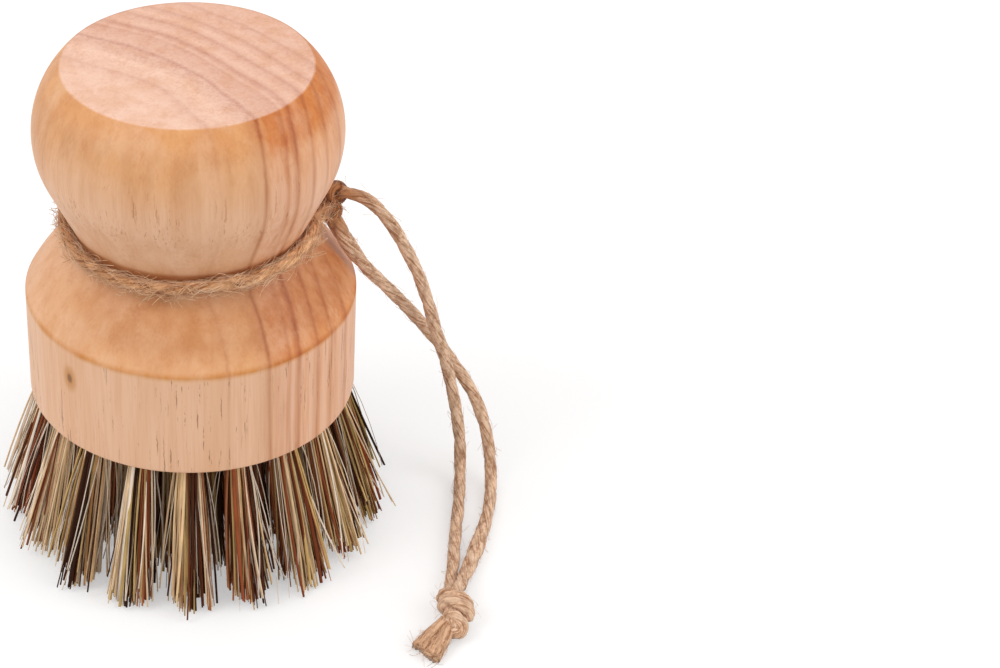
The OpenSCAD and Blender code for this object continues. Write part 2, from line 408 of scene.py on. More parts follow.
def wood_finish():
    """Growth rings round a pith outside the block, fibre streaks, pores, and oil soaked into the slopes."""
    t = Finish("turned_hardwood")
    at = t.place()
    rightward, _, height = t.add("ShaderNodeSeparateXYZ", {0: at}).outputs
    rim, waist, top = rim_z / mm, waist_z / mm, top_z / mm
    flat_top = t.span(height, top - 0.2, top - 0.03)
    side = t.maths("SUBTRACT", 1.0, flat_top)

    # Growth rings: the distance from the pith, in millimetres, bent a little by slow noise
    bent = t.shaken(at, at, (0.06, 0.06, 0.014), 1.0, (3.5, 3.5, 0))
    bent = t.shaken(bent, at, (2.2, 2.2, 0.12), 2.0, (0.45, 0.45, 0))
    radius = t.distance(t.scaled(bent, (1, 1, 0)), (-42.5, -45.1, 0))
    nearest, furthest = 44.0, 88.0
    share = t.span(radius, nearest, furthest, kind="LINEAR")
    late = t.ramp(share, [((r - nearest) / (furthest - nearest), (v, v, v, 1)) for r, v in ring_shades()])
    broken = t.noise(at, (0.4, 0.4, 0.05), 3.0)
    late = t.product(late, t.span(broken, 0.3, 0.7, 0.75, 1.0))
    late = t.maths("POWER", late, t.span(flat_top, 0, 1, 1.25, 0.6))
    heart = t.span(radius, 60, 62)

    # Fibres: fine streaks along the block, which show as dots on the end grain
    fine = t.noise(at, (2.6, 2.6, 0.09), 3.0, 0.65)
    coarse = t.noise(at, (0.8, 0.8, 0.03), 3.0, 0.6)
    streak = t.linear(fine, 0.55, t.product(coarse, 0.45))
    broad = t.noise(at, (0.25, 0.25, 0.015))
    patch = t.noise(at, (0.07, 0.07, 0.07), 3.0)
    blotch = t.noise(at, (0.16, 0.16, 0.1), 4.0, 0.6)

    colour = t.mix(flat_top, paint(234, 188, 153), paint(246, 204, 180))
    speckle = t.span(t.noise(at, (1.9, 1.9, 1.9), 3.0, 0.7), 0.42, 0.64)
    speckle = t.product(speckle, flat_top, t.span(radius, 50, 60, 0.35, 1.0))
    colour = t.stained(colour, speckle, (0.9, 0.84, 0.83))
    colour = t.mix(t.product(heart, 0.5), colour, paint(240, 191, 163))
    colour = t.stained(colour, t.span(broad, 0.35, 0.7), (0.93, 0.86, 0.78))
    ring_tint = t.mix(flat_top, (0.58, 0.36, 0.22, 1), (0.72, 0.58, 0.57, 1))
    colour = t.stained(colour, late, ring_tint)
    heart_streak = t.product(heart, t.span(coarse, 0.45, 0.62), side)
    colour = t.stained(colour, heart_streak, (0.97, 0.9, 0.8))
    streak_depth = t.product(t.span(streak, 0.4, 0.66), t.span(broken, 0.35, 0.7, 0.4, 1.0))
    colour = t.stained(colour, streak_depth, (0.9, 0.82, 0.76))

    # Oil: it soaks in where the fibres end on a slope, most of all along the edges
    wander = t.product(t.maths("SUBTRACT", patch, 0.5), 12.0)
    level = t.maths("ADD", height, wander)
    soaks = ((0, 0.85), (0.2, 0.7), (0.5, 0.8), (0.8, 0.6), (1.0, 0.3))
    low_soak = t.ramp(t.span(level, rim - 1, rim + 16, kind="LINEAR"),
                      [(place, (v, v, v, 1)) for place, v in soaks])
    low_soak = t.product(low_soak, t.span(height, rim + 16, rim + 20, 1.0, 0.15),
                         t.span(rightward, -28, -8, 0.6, 1.0))
    edge_level = t.linear(wander, 0.3, height)
    high_soak = t.maths("MAXIMUM", t.span(level, top - 17, top, 0.08, 0.85),
                        t.span(edge_level, top - 4.5, top - 1.2, 0.0, 0.95))
    slopes = t.maths("MAXIMUM", t.span(height, top - 7.5, top - 3.2, 0.05, 1.0),
                     t.span(height, rim + 10, rim + 18, 0.4, 0.0))
    deep = t.product(t.maths("ADD", heart, late), slopes)
    soak = t.linear(deep, 0.2, t.maths("MAXIMUM", low_soak, high_soak))
    soak = t.product(soak, t.span(height, rim - 0.7, rim - 0.1), side)
    soak = t.maths("MULTIPLY", soak, t.span(blotch, 0.3, 0.7, 0.65, 1.25), clamp=True)
    oiled = t.mix(1.0, colour, (0.91, 0.71, 0.43, 1), "MULTIPLY")
    colour = t.mix(soak, colour, t.stained(oiled, deep, (0.86, 0.6, 0.24)))

    # Wear and painted shade: the knob is paler grey-brown where it is held, the shoulder below the cord is
    # darkened brown, partly as oil and partly as painted shade under the knob's overhang, there is a painted
    # shadow line where the cord lies against the wood, and the rim has a broken golden line
    worn = t.product(t.span(height, top - 17, top - 8), t.span(height, top - 5, top - 2, 1.0, 0.0),
                     t.maths("SUBTRACT", 1.0, heart), t.span(broad, 0.3, 0.6, 0.4, 1.0))
    colour = t.stained(colour, worn, (0.9, 0.87, 0.8))
    # The shoulder below the cord: oil stain and painted shade from the knob above, weaker on the left
    shoulder_oil_and_shade = t.product(t.span(height, rim + 0.5, rim + 5), t.span(height, rim + 12, rim + 15, 1.0, 0.0),
                       t.span(blotch, 0.25, 0.7, 0.5, 1.0), t.span(rightward, -26, -8, 0.1, 1.0))
    colour = t.stained(colour, shoulder_oil_and_shade, (0.79, 0.7, 0.6))
    # A painted shadow line in the wood where the cord lies against the waist
    cord_shadow_line = t.product(t.span(height, waist - 1.7, waist - 0.2),
                           t.span(height, waist + 1.7, waist + 3, 1.0, 0.0))
    colour = t.stained(colour, cord_shadow_line, (0.68, 0.50, 0.36))
    rim_line = t.product(t.span(height, rim - 1.3, rim - 0.3), t.span(height, rim, rim + 0.8, 1.0, 0.0),
                         t.span(blotch, 0.35, 0.65, 0.35, 1.0))
    colour = t.stained(colour, rim_line, (0.84, 0.66, 0.33))

    # Pores: short dark dashes along the fibres of the wall, and faint scratches of them on the knob
    pore_at = t.shaken(at, at, (0.5, 0.5, 0.9), 1.0, (0.35, 0.35, 0))
    cells = t.add("ShaderNodeTexVoronoi", {"Vector": t.scaled(pore_at, (2.2, 2.2, 0.09)), "Scale": 1.0,
                                           "Randomness": 1.0}).outputs
    chosen = t.out("ShaderNodeSeparateColor", {0: cells["Color"]})
    group = t.noise(at, (0.11, 0.11, 0.05), 1.0)
    few = t.product(t.span(chosen, 0.1, 0.55), t.span(group, 0.4, 0.56, 0.2, 1.0))
    pore = t.product(t.span(cells["Distance"], 0.13, 0.32, 1.0, 0.0), few,
                     t.span(height, rim - 1, rim, 1.0, 0.0))
    colour = t.mix(t.product(pore, 0.68), colour, paint(120, 76, 46))
    thin = t.noise(pore_at, (2.1, 2.1, 0.07), 3.0, 0.7)
    knob_pore = t.product(t.span(thin, 0.56, 0.68), t.span(group, 0.42, 0.6, 0.15, 1.0),
                          t.span(height, top - 24, top - 20), t.span(height, top - 13, top - 5, 1.0, 0.1))
    colour = t.stained(colour, knob_pore, (0.72, 0.6, 0.5))

    # One small pin knot on the base's wall, a little taller than wide
    pin = t.distance(t.scaled(at, (1, 1, 0.6)), (-21, -21.4, 0.6 * 43.7))
    colour = t.mix(t.span(pin, 0.7, 2.2, 0.8, 0.0), colour, paint(196, 132, 66))
    colour = t.mix(t.span(pin, 0.3, 0.85, 0.85, 0.0), colour, paint(122, 74, 32))

    relief = t.maths("SUBTRACT", t.product(streak, 0.5), t.maths("ADD", pore, t.product(late, 0.25)))
    rough = t.span(streak, 0.2, 0.8, 0.44, 0.6)
    return t.finish(colour, rough, relief, 0.05 * mm, **{"Specular IOR Level": 0.5})


wood = turned("turned_body", body_outline(), 288)
cut_with(wood, drill)
cut_with(wood, bite)
wood.data.materials.clear()
wood.data.materials.append(wood_finish())
wood.data.shade_smooth()
wood.data.set_sharp_from_angle(angle=math.radians(40))
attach(wood, "brush")
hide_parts("wood_body")


# The tuft anchors. Short pieces of flat galvanised wire, driven into the holes over the folded fibres
# until their ends bite the wood. They are hidden inside the base.
def wire_finish():
    """Drawn wire: bright grey, with fine scratches."""
    t = Finish("flat_wire")
    drawn = t.noise(t.place(), (0.9, 0.9, 9), 3.0)
    colour = t.mix(drawn, paint(176, 178, 180), paint(204, 205, 206))
    return t.finish(colour, t.span(drawn, 0.2, 0.8, 0.3, 0.5), drawn, 0.01 * mm, Metallic=1.0)


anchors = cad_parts["tuft_anchors"]
anchors.data.materials.clear()
anchors.data.materials.append(wire_finish())


# The tufts. Stiff plant fibres of mixed colours, folded over an anchor, packed into a drilled hole
# and cut by hand, so that the ends are uneven. The left-hand ones hold more pale fibre.
class Growth(Tree):
    """A geometry node tree with named inputs, which ends in plain geometry in its own finish."""

    def __init__(self, name, seed_step, inputs):
        super().__init__(bpy.data.node_groups.new(name, "GeometryNodeTree"))
        self.seed_step = seed_step
        sockets = self.tree.interface
        sockets.new_socket(name=name, in_out="OUTPUT", socket_type="NodeSocketGeometry")
        self.keys = {}
        for label, kind in inputs.items():
            socket = sockets.new_socket(name=label, in_out="INPUT", socket_type="NodeSocket" + kind)
            self.keys[label] = socket.identifier
        self.given = self.add("NodeGroupInput").outputs

    def chance(self, low, high, number):
        """A value drawn for each point. Each use has a number of its own."""
        own = self.linear(self.given["Seed"], self.seed_step, float(number))
        return self.drawn({2: low, 3: high, "Seed": own})

    def drawn(self, inputs):
        return self.add("FunctionNodeRandomValue", inputs, data_type="FLOAT").outputs[1]

    def joined(self, x, y, z=0.0):
        return self.out("ShaderNodeCombineXYZ", {0: x, 1: y, 2: z})

    def moved(self, geometry, **how):
        return self.out("GeometryNodeTransform", {"Geometry": geometry, **how})

    def stored(self, geometry, name, value, kind="FLOAT"):
        inputs = {"Geometry": geometry, "Name": name, "Value": value}
        return self.out("GeometryNodeStoreNamedAttribute", inputs, data_type=kind, domain="POINT")

    def named(self, name, kind="FLOAT"):
        return self.out("GeometryNodeInputNamedAttribute", {"Name": name}, data_type=kind)

    def finish(self, geometry):
        solid = self.out("GeometryNodeRealizeInstances", {0: geometry})
        dressed = self.out("GeometryNodeSetMaterial", {"Geometry": solid, "Material": self.given["Finish"]})
        self.add("NodeGroupOutput", {0: dressed})
        return self

    def grow(self, piece, values):
        """Grows on a piece, whose mesh then is what has grown."""
        modifier = piece.modifiers.new("growth", "NODES")
        modifier.node_group = self.tree
        for label, value in values.items():
            modifier[self.keys[label]] = value
        grown = bpy.data.meshes.new_from_object(piece.evaluated_get(bpy.context.evaluated_depsgraph_get()))
        piece.modifiers.clear()
        piece.data = grown


def tuft_growth():
    """A tuft in its hole's own frame, built in millimetres: strands, packed plug, fold over the anchor."""
    g = Growth("tuft_of_fibres", 31.0, {
        "Strands": "Int", "Plug radius": "Float", "Tip radius": "Float", "Lean": "Float", "Height": "Float",
        "Uneven": "Float", "Paleness": "Float", "Seed": "Int", "Finish": "Material"})
    given = g.given

    # Each strand's place in the hole and among the tips. A few strands go astray.
    out = g.maths("SQRT", g.chance(0.0, 1.0, 1))
    turn = g.chance(0.0, 2 * math.pi, 2)
    spot = g.joined(g.product(out, g.maths("COSINE", turn)), g.product(out, g.maths("SINE", turn)))
    root = g.scaled(spot, given["Plug radius"])
    spread = g.scaled(g.scaled(spot, (1.0, 1.2, 1.0)), given["Tip radius"])
    astray = g.maths("LESS_THAN", g.chance(0.0, 1.0, 3), 0.13)

    # The strands of one tuft were laid in small hanks, each with a colour, a length and a lean of its own
    own_ground = g.joined(g.product(given["Seed"], 3.7), 0.0)
    hank_place = g.vector("ADD", g.scaled(root, (0.85, 0.85, 0.85)), own_ground)
    hank = g.add("ShaderNodeTexVoronoi", {"Vector": hank_place, "Scale": 1.0}).outputs["Color"]
    hank_colour, hank_length, hank_lean = g.add("FunctionNodeSeparateColor", {0: hank}).outputs[:3]
    drift = g.linear(g.maths("POWER", g.chance(0.0, 1.0, 17), 2.2), 2.6, 0.35)
    drift = g.linear(astray, 3.6, drift)
    hank_drift = g.linear(hank_lean, 1.5, -0.75)
    wander = g.joined(g.linear(g.chance(-1.0, 1.0, 4), drift, g.maths("ADD", hank_drift, -0.9)),
                      g.linear(g.chance(-1.0, 1.0, 5), drift, hank_drift))
    tip_flat = g.vector("ADD", spread, wander)

    # Hand-cut ends: how far each strand ends above the table, and how far down the leaning hole that is
    short = g.product(g.maths("POWER", hank_length, 1.5), given["Uneven"])
    short = g.maths("ADD", short, g.linear(g.maths("POWER", g.chance(0.0, 1.0, 6), 3.0), 1.8, 0.3))
    short = g.maths("ADD", short, g.product(astray, g.chance(-0.1, 3.0, 16)))
    tip_x = g.out("ShaderNodeSeparateXYZ", {0: tip_flat})
    down = g.maths("SUBTRACT", g.linear(tip_x, g.maths("SINE", given["Lean"]), given["Height"]), short)
    reach = g.maths("DIVIDE", down, g.maths("COSINE", given["Lean"]))
    tip = g.vector("ADD", tip_flat, g.joined(0.0, 0.0, g.product(reach, -1.0)))

    # Each strand's bow, colour tone and thickness
    bend = g.linear(astray, 1.0, 0.6)
    bow = g.joined(g.product(g.chance(-1.0, 1.0, 7), bend), g.product(g.chance(-1.0, 1.0, 8), bend))
    odd = g.maths("GREATER_THAN", g.chance(0.0, 1.0, 9), 0.64)
    tone = g.out("ShaderNodeMix", {0: odd, 2: hank_colour, 3: g.chance(0.0, 1.0, 10)}, data_type="FLOAT")
    tone = g.linear(tone, given["Paleness"], g.chance(-0.07, 0.07, 11))
    tone = g.maths("ADD", tone, g.product(astray, given["Paleness"]))
    thick = g.linear(g.maths("POWER", g.chance(0.0, 1.0, 13), 1.6), 0.19, 0.13)
    thick = g.product(thick, g.linear(astray, -0.5, 1.0))

    points = g.out("GeometryNodePoints", {"Count": given["Strands"]})
    for name, value in (("root", root), ("tip", tip), ("bow", bow)):
        points = g.stored(points, name, value, "FLOAT_VECTOR")
    for name, value in (("tone", tone), ("shade", g.chance(0.0, 1.0, 12)), ("thick", thick)):
        points = g.stored(points, name, value)

    # One strand: five sides, six lengths, flattened and turned any way
    rod = g.out("GeometryNodeMeshCylinder", {"Vertices": 5, "Side Segments": 6, "Radius": 1.0, "Depth": 1.0})
    rod = g.moved(rod, Translation=(0, 0, 0.5))
    flatten = g.joined(1.15, g.chance(0.5, 1.0, 14), 1.0)
    turned_by = g.joined(0.0, 0.0, g.chance(0.0, 2 * math.pi, 15))
    strands = g.out("GeometryNodeInstanceOnPoints",
                    {"Points": points, "Instance": rod, "Rotation": turned_by, "Scale": flatten})
    strands = g.out("GeometryNodeRealizeInstances", {0: strands})

    # Bend the strands to their places: the rod's height is the share of the way down
    rod_x, rod_y, along = g.add("ShaderNodeSeparateXYZ", {0: g.out("GeometryNodeInputPosition")}).outputs
    start = g.vector("ADD", g.named("root", "FLOAT_VECTOR"), (0, 0, 5.5))
    middle = g.add("ShaderNodeMix", {0: along, 4: start, 5: g.named("tip", "FLOAT_VECTOR")},
                   data_type="VECTOR").outputs[1]
    arch = g.product(along, g.maths("SUBTRACT", 1.0, along), 4.0)
    bent = g.scaled(g.named("bow", "FLOAT_VECTOR"), arch)
    girth = g.product(g.named("thick"), g.maths("SUBTRACT", 1.08, g.product(along, 0.22)))
    side = g.scaled(g.joined(rod_x, rod_y), girth)
    final = g.vector("ADD", g.vector("ADD", middle, bent), side)
    strands = g.out("GeometryNodeSetPosition", {"Geometry": strands, "Position": final})

    # The packed plug below the anchor, and the fold above it
    whole = g.add("GeometryNodeJoinGeometry")
    parts = [strands]
    for low, high in ((0.5, 6.2), (8.6, 9.85)):
        plug = g.out("GeometryNodeMeshCylinder", {"Vertices": 20, "Radius": 2.1, "Depth": high - low})
        parts.append(g.stored(g.moved(plug, Translation=(0, 0, (low + high) / 2)), "tone", 0.12))
    for part in parts:
        g.tree.links.new(part, whole.inputs[0])
    return g.finish(g.moved(whole.outputs[0], Scale=(mm, mm, mm)))


def fibre_finish():
    """Cream, straw, olive, tan, red-brown and near-black fibres, by each strand's own tone."""
    t = Finish("plant_fibre")
    tone = t.add("ShaderNodeAttribute", attribute_name="tone").outputs["Fac"]
    shade = t.add("ShaderNodeAttribute", attribute_name="shade").outputs["Fac"]
    colour = t.ramp(tone, [
        (0.0, paint(56, 30, 16)), (0.2, paint(94, 48, 26)), (0.29, paint(150, 74, 42)),
        (0.4, paint(186, 124, 82)), (0.46, paint(166, 142, 86)), (0.53, paint(206, 170, 110)),
        (0.6, paint(230, 194, 146)), (0.84, paint(242, 212, 176)), (1.0, paint(240, 222, 202))])
    along = t.noise(t.place(), (0.9, 0.9, 0.09))
    level = t.product(t.span(shade, 0, 1, 0.72, 1.1, kind="LINEAR"), t.span(along, 0.2, 0.8, 0.8, 1.12))
    level = t.out("ShaderNodeCombineXYZ", {0: level, 1: level, 2: level})
    colour = t.mix(1.0, colour, level, "MULTIPLY")
    return t.finish(colour, 0.7, along, 0.02 * mm, **{"Specular IOR Level": 0.12})


fibres = tuft_growth()
fibre_paint = fibre_finish()
ring_names = ["centre", "inner", "middle", "outer"]
strand_counts = [100, 100, 120, 150]
tip_radii = [3.4, 3.4, 3.6, 3.4]
paleness = [0.45, 0.45, 0.6, 1.0]
plug_radius = 1.75
hand_cut = 4.0


def keep_off_table(piece):
    """Nothing reaches below the table that the brush stands on."""
    places = np.empty(3 * len(piece.data.vertices), np.float32)
    piece.data.vertices.foreach_get("co", places)
    places[2::3] = np.maximum(places[2::3], 0.02 * mm)
    piece.data.vertices.foreach_set("co", places)


def make_tuft(number, ring, k):
    label = "tuft_centre" if ring == 0 else f"tuft_{ring_names[ring]}_{k + 1:02d}"
    place = hole_place(ring, k)
    piece = add_mesh(label + "_fibres", [], [])
    fibres.grow(piece, {
        "Strands": strand_counts[ring], "Plug radius": plug_radius, "Tip radius": tip_radii[ring],
        "Lean": lean(ring), "Height": base_z / mm, "Uneven": hand_cut, "Seed": number + 1,
        "Paleness": paleness[ring] * (1.03 - 0.42 * place.translation.x / base_r), "Finish": fibre_paint})
    piece.data.transform(place)
    keep_off_table(piece)
    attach(piece, "brush")
    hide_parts(label)


for number, (ring, k) in enumerate(tufts):
    make_tuft(number, ring, k)


# The jute cord. Two-ply twine of 2.4 mm, tied round the waist, with a knot on the right side. Its two
# legs run down to the table and along it, and end in one knot and two frayed cut ends.
cord_d = 2.4 * mm
ply_pitch = 14 * mm


def smooth(points, step=0.3 * mm):
    """A smooth curve through points given in millimetres, as points a step apart in metres."""
    p = np.array(points, float) * mm
    p = np.vstack([2 * p[0] - p[1], p, 2 * p[-1] - p[-2]])
    out = []
    for a, b, c, d in zip(p[:-3], p[1:-2], p[2:-1], p[3:]):
        steps = max(4, int(np.linalg.norm(c - b) / (0.1 * mm)))
        for s in np.arange(steps) / steps:
            out.append(0.5 * (2 * b + (c - a) * s + (2 * a - 5 * b + 4 * c - d) * s**2
                              + (3 * b - a - 3 * c + d) * s**3))
    out.append(p[-2])
    out = np.array(out)
    run = np.concatenate([[0], np.cumsum(np.linalg.norm(np.diff(out, axis=0), axis=1))])
    even = np.linspace(0, run[-1], max(8, int(run[-1] / step)))
    return np.stack([np.interp(even, run, out[:, i]) for i in range(3)], axis=1)


def frames_along(path, up):
    """Heading, aside and over at each point of the path, turning as little as they can."""
    ahead = np.gradient(path, axis=0)
    ahead /= np.linalg.norm(ahead, axis=1)[:, None]
    aside = np.zeros_like(ahead)
    start = np.cross(ahead[0], up)
    aside[0] = start / np.linalg.norm(start)
    for i in range(1, len(path)):
        v = aside[i - 1] - ahead[i] * np.dot(aside[i - 1], ahead[i])
        aside[i] = v / np.linalg.norm(v)
    return ahead, aside, np.cross(ahead, aside)


def twine(name, path, seed, width=1.0, flat=1.0, crease=0.07, pitch=ply_pitch, ragged=0.0, loose=(),
          opens=0.0, up=(0.6, -0.5, 0.6)):
    """A stretch of twine: two plies laid together, with fibre ridges, on a path of points in metres. At the
    shares of its length called loose, the twist has opened and the twine is thicker, and it opens towards
    its far end by the share called opens. Its last millimetre is cut as unevenly as ragged says."""
    sides = 24
    ahead, aside, over = frames_along(path, up)
    run = np.concatenate([[0], np.cumsum(np.linalg.norm(np.diff(path, axis=0), axis=1))])
    points, place, hollow, heading = [], [], [], []
    for i, s in enumerate(run):
        slow = noise.noise(Vector((s / (6 * mm), seed * 5.1, 0.3)))
        slack = 0.3 * sum(math.exp(-(((s / run[-1] - at) / 0.06) ** 2)) for at in loose)
        girth = cord_d * width * (1 + 0.07 * slow) * (1 + opens * s / run[-1] + slack)
        near_cut = max(0.0, 1 - (run[-1] - s) / mm)
        for j in range(sides):
            turn = 2 * math.pi * j / sides
            lay = turn - 2 * math.pi * s / pitch + seed
            gap = (lay % math.pi) - math.pi / 2
            dent = math.exp(-((gap / 0.42) ** 2))
            fibre = turn + 1.1 * math.pi * s / pitch
            on_ridge = Vector((4.2 * math.cos(fibre), 4.2 * math.sin(fibre), s / (5 * mm) + seed * 9))
            ridge = noise.noise(on_ridge)
            radius = girth * (0.505 - crease * dent + 0.035 * ridge)
            cut = ragged * near_cut * noise.noise(Vector((7 * math.cos(turn), 7 * math.sin(turn), seed)))
            side = radius * (math.cos(turn) * aside[i] + flat * math.sin(turn) * over[i])
            points.append(path[i] + side + cut * ahead[i])
            place.append((math.cos(fibre), math.sin(fibre), s / mm))
            hollow.append(dent)
            heading.append(ahead[i])
    last = len(run) - 1
    edges = [(j, (j + 1) % sides) for j in range(sides)]
    faces = [(i * sides + a, i * sides + b, (i + 1) * sides + b, (i + 1) * sides + a)
             for i in range(last) for a, b in edges]
    for end, tip in ((0, len(points)), (last, len(points) + 1)):
        ring = [(end * sides + a, end * sides + b) for a, b in edges]
        faces += [(tip, a, b) if end else (tip, b, a) for a, b in ring]
        points.append(path[end])
        place.append((0, 0, run[end] / mm))
        hollow.append(0.6)
        heading.append(ahead[end])
    piece = add_mesh(name, points, faces)
    piece.data.shade_smooth()
    for label, kind, values in (("strand_place", "FLOAT_VECTOR", place), ("heading", "FLOAT_VECTOR", heading),
                                ("hollow", "FLOAT", hollow)):
        attribute = piece.data.attributes.new(label, kind, "POINT")
        key = "vector" if kind == "FLOAT_VECTOR" else "value"
        attribute.data.foreach_set(key, np.array(values, np.float32).ravel())
    return piece


def jute_finish(name, light, dark, loose_fibre, shade=0.4, painted_light_right=0.0):
    """Matte plant fibre in fine streaks along the plies, with painted shade in the creases between them by
    the share called shade, painted shade round the knot at the waist, and paint made lighter to the right of
    the waist's middle, as painted light where the knob shades the loop."""
    t = Finish(name)
    at = t.place()
    rightward = t.out("ShaderNodeSeparateXYZ", {0: at})
    place = t.add("ShaderNodeAttribute", attribute_name="strand_place").outputs["Vector"]
    hollow = t.add("ShaderNodeAttribute", attribute_name="hollow").outputs["Fac"]
    fine = t.noise(place, (3.8, 3.8, 0.32), 3.0, 0.6)
    broad = t.noise(place, (1.3, 1.3, 0.2))
    grain = t.noise(at, (1.5, 1.5, 1.5), 2.0, 0.7)
    colour = t.mix(t.span(t.linear(grain, 0.28, t.product(fine, 0.72)), 0.41, 0.59), dark, light)
    colour = t.mix(t.span(broad, 0.4, 0.7, 0.0, 0.55), colour, loose_fibre)
    # Painted shade in the creases between the plies
    colour = t.stained(colour, t.product(hollow, shade), (0.5, 0.4, 0.33))
    # Painted shade on the cord round the knot at the waist
    near_knot = t.span(t.distance(at, (27, 4.6, 63.5)), 3, 7.5, 1.0, 0.0)
    knot_shade = t.product(near_knot, t.span(broad, 0.3, 0.6, 0.6, 1.0))
    colour = t.stained(colour, knot_shade, (0.67, 0.47, 0.32))
    # Painted light: the paint is made lighter to the right of the waist's middle, where the knob shades the
    # loop
    painted_light = t.product(t.span(rightward, 2, 12, 0.0, painted_light_right), t.maths("SUBTRACT", 1.0, knot_shade))
    colour = t.stained(colour, painted_light, (1.5, 1.66, 1.75))
    relief = t.maths("SUBTRACT", t.linear(grain, 0.35, fine), t.product(hollow, 0.4))
    return t.finish(colour, 0.88, relief, 0.12 * mm, **{"Specular IOR Level": 0.15, "Sheen Weight": 0.25})


def fuzz_finish():
    """Single loose fibres, paler than the cord."""
    t = Finish("jute_fuzz")
    patch = t.noise(t.place(), (0.4, 0.4, 0.4))
    colour = t.mix(t.span(patch, 0.35, 0.65), paint(212, 166, 126), paint(242, 206, 170))
    return t.finish(colour, 0.8, **{"Specular IOR Level": 0.2})


def fuzz_growth():
    """Loose fibres that lie along the cord and stand off it at one end."""
    g = Growth("cord_fuzz", 17.0, {
        "Cord": "Geometry", "Hairs per square metre": "Float", "Shortest": "Float", "Longest": "Float",
        "Lift": "Float", "Seed": "Int", "Finish": "Material"})
    given = g.given
    spread = g.add("GeometryNodeDistributePointsOnFaces",
                   {"Mesh": given["Cord"], "Density": given["Hairs per square metre"], "Seed": given["Seed"]})
    heading = g.named("heading", "FLOAT_VECTOR")
    lie = g.out("FunctionNodeAxesToRotation",
                {"Primary Axis": spread.outputs["Normal"], "Secondary Axis": heading},
                primary_axis="Z", secondary_axis="X")
    swing = g.joined(g.chance(-0.3, 0.3, 1), 0.0, g.chance(-0.35, 0.35, 2))
    rarely = g.maths("POWER", g.chance(0.0, 1.0, 3), 4.0)
    raised = g.joined(0.0, g.product(given["Lift"], rarely, -1.0))
    either = g.add("FunctionNodeRandomValue", {"Probability": 0.5, "Seed": 5}, data_type="BOOLEAN").outputs[3]
    about = g.out("GeometryNodeSwitch", {0: either, 1: (0, 0, 0), 2: (0, 0, math.pi)}, input_type="VECTOR")
    for turn in (about, swing, raised):
        as_rotation = g.out("FunctionNodeEulerToRotation", {0: turn})
        lie = g.out("FunctionNodeRotateRotation", {0: lie, 1: as_rotation}, rotation_space="LOCAL")

    # Three shapes of hair, one unit long
    hairs = g.add("GeometryNodeGeometryToInstance")
    for middle, end in (((0.5, 0.3, 0.06), (0.85, -0.08, 0.09)), ((0.4, -0.3, 0.08), (0.85, 0.2, 0.03)),
                        ((0.45, 0.22, 0.12), (0.75, 0.45, -0.04))):
        route = g.out("GeometryNodeCurveQuadraticBezier",
                      {"Resolution": 6, "Start": (0, 0, -0.02), "Middle": middle, "End": end})
        profile = g.out("GeometryNodeCurvePrimitiveCircle", {"Resolution": 3, "Radius": 0.009})
        hair = g.out("GeometryNodeCurveToMesh", {"Curve": route, "Profile Curve": profile, "Fill Caps": True})
        g.tree.links.new(hair, hairs.inputs[0])
    size = g.drawn({2: given["Shortest"], 3: given["Longest"], "Seed": 6})
    return g.finish(g.out("GeometryNodeInstanceOnPoints",
                          {"Points": spread.outputs["Points"], "Instance": hairs.outputs[0],
                           "Pick Instance": True, "Rotation": lie, "Scale": size}))


fuzz = fuzz_growth()
fuzz_paint = fuzz_finish()
clean_paint = jute_finish("jute_twine", paint(236, 198, 166), paint(168, 120, 86), paint(242, 210, 180))
# The waist loop's twine, with painted shade in its creases and a painted light on its right-hand part
rubbed_paint = jute_finish("jute_rubbed", paint(216, 161, 113), paint(150, 96, 58), paint(227, 177, 132),
                           shade=0.5, painted_light_right=1.0)
# The waist knot's twine: darker brown, with deep painted shade in its creases
brown_paint = jute_finish("jute_rubbed_brown", paint(216, 164, 122), paint(112, 70, 42), paint(230, 184, 142),
                          shade=0.9)
cut_paint = jute_finish("jute_cut", paint(226, 182, 146), paint(154, 106, 72), paint(236, 196, 160))


def fuzz_on(piece, number, hairs, shortest, longest, lift):
    """A coat of loose fibres on a piece of cord, as a piece of its own. The lengths are in millimetres."""
    coat = bpy.data.objects.new(piece.name + "_fuzz", piece.data.copy())
    scene.collection.objects.link(coat)
    area = sum(p.area for p in piece.data.polygons)
    fuzz.grow(coat, {"Hairs per square metre": hairs / area, "Shortest": shortest * mm,
                     "Longest": longest * mm, "Lift": lift, "Seed": number, "Finish": fuzz_paint})
    keep_off_table(coat)
    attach(coat, "cord")
    return coat


def joined_pieces(name, parts):
    """Several pieces of twine as one."""
    with bpy.context.temp_override(active_object=parts[0], selected_editable_objects=parts):
        bpy.ops.object.join()
    parts[0].name = name
    parts[0].data.name = name
    return parts[0]


def dress(piece, cad_node, finish=clean_paint):
    """Gives a piece of cord its finish and its body, and hides the CAD node that it stands for."""
    keep_off_table(piece)
    piece.data.materials.append(finish)
    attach(piece, "cord")
    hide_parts(cad_node)


# The loop round the waist. It sags a little at the front left, and its two ends lift off the wood
# towards the knot. It is the hairiest stretch, because it rubs on the wood.
loop_r = 22.45
knot_angle = math.radians(10)
lift_back = math.radians(28)
lift_front = math.radians(15)
knot_reach = loop_r / math.cos(lift_back)
above_waist = 0.6
deepest_sag = 0.9


def loop_point(angle):
    sag = deepest_sag * math.exp(-(((math.degrees(angle) - 240) / 28) ** 2))
    ripple = 0.15 * math.sin(3 * angle + 1) + 0.12 * math.sin(8 * angle)
    return (loop_r * math.cos(angle), loop_r * math.sin(angle), waist_z / mm + above_waist - sag + ripple)


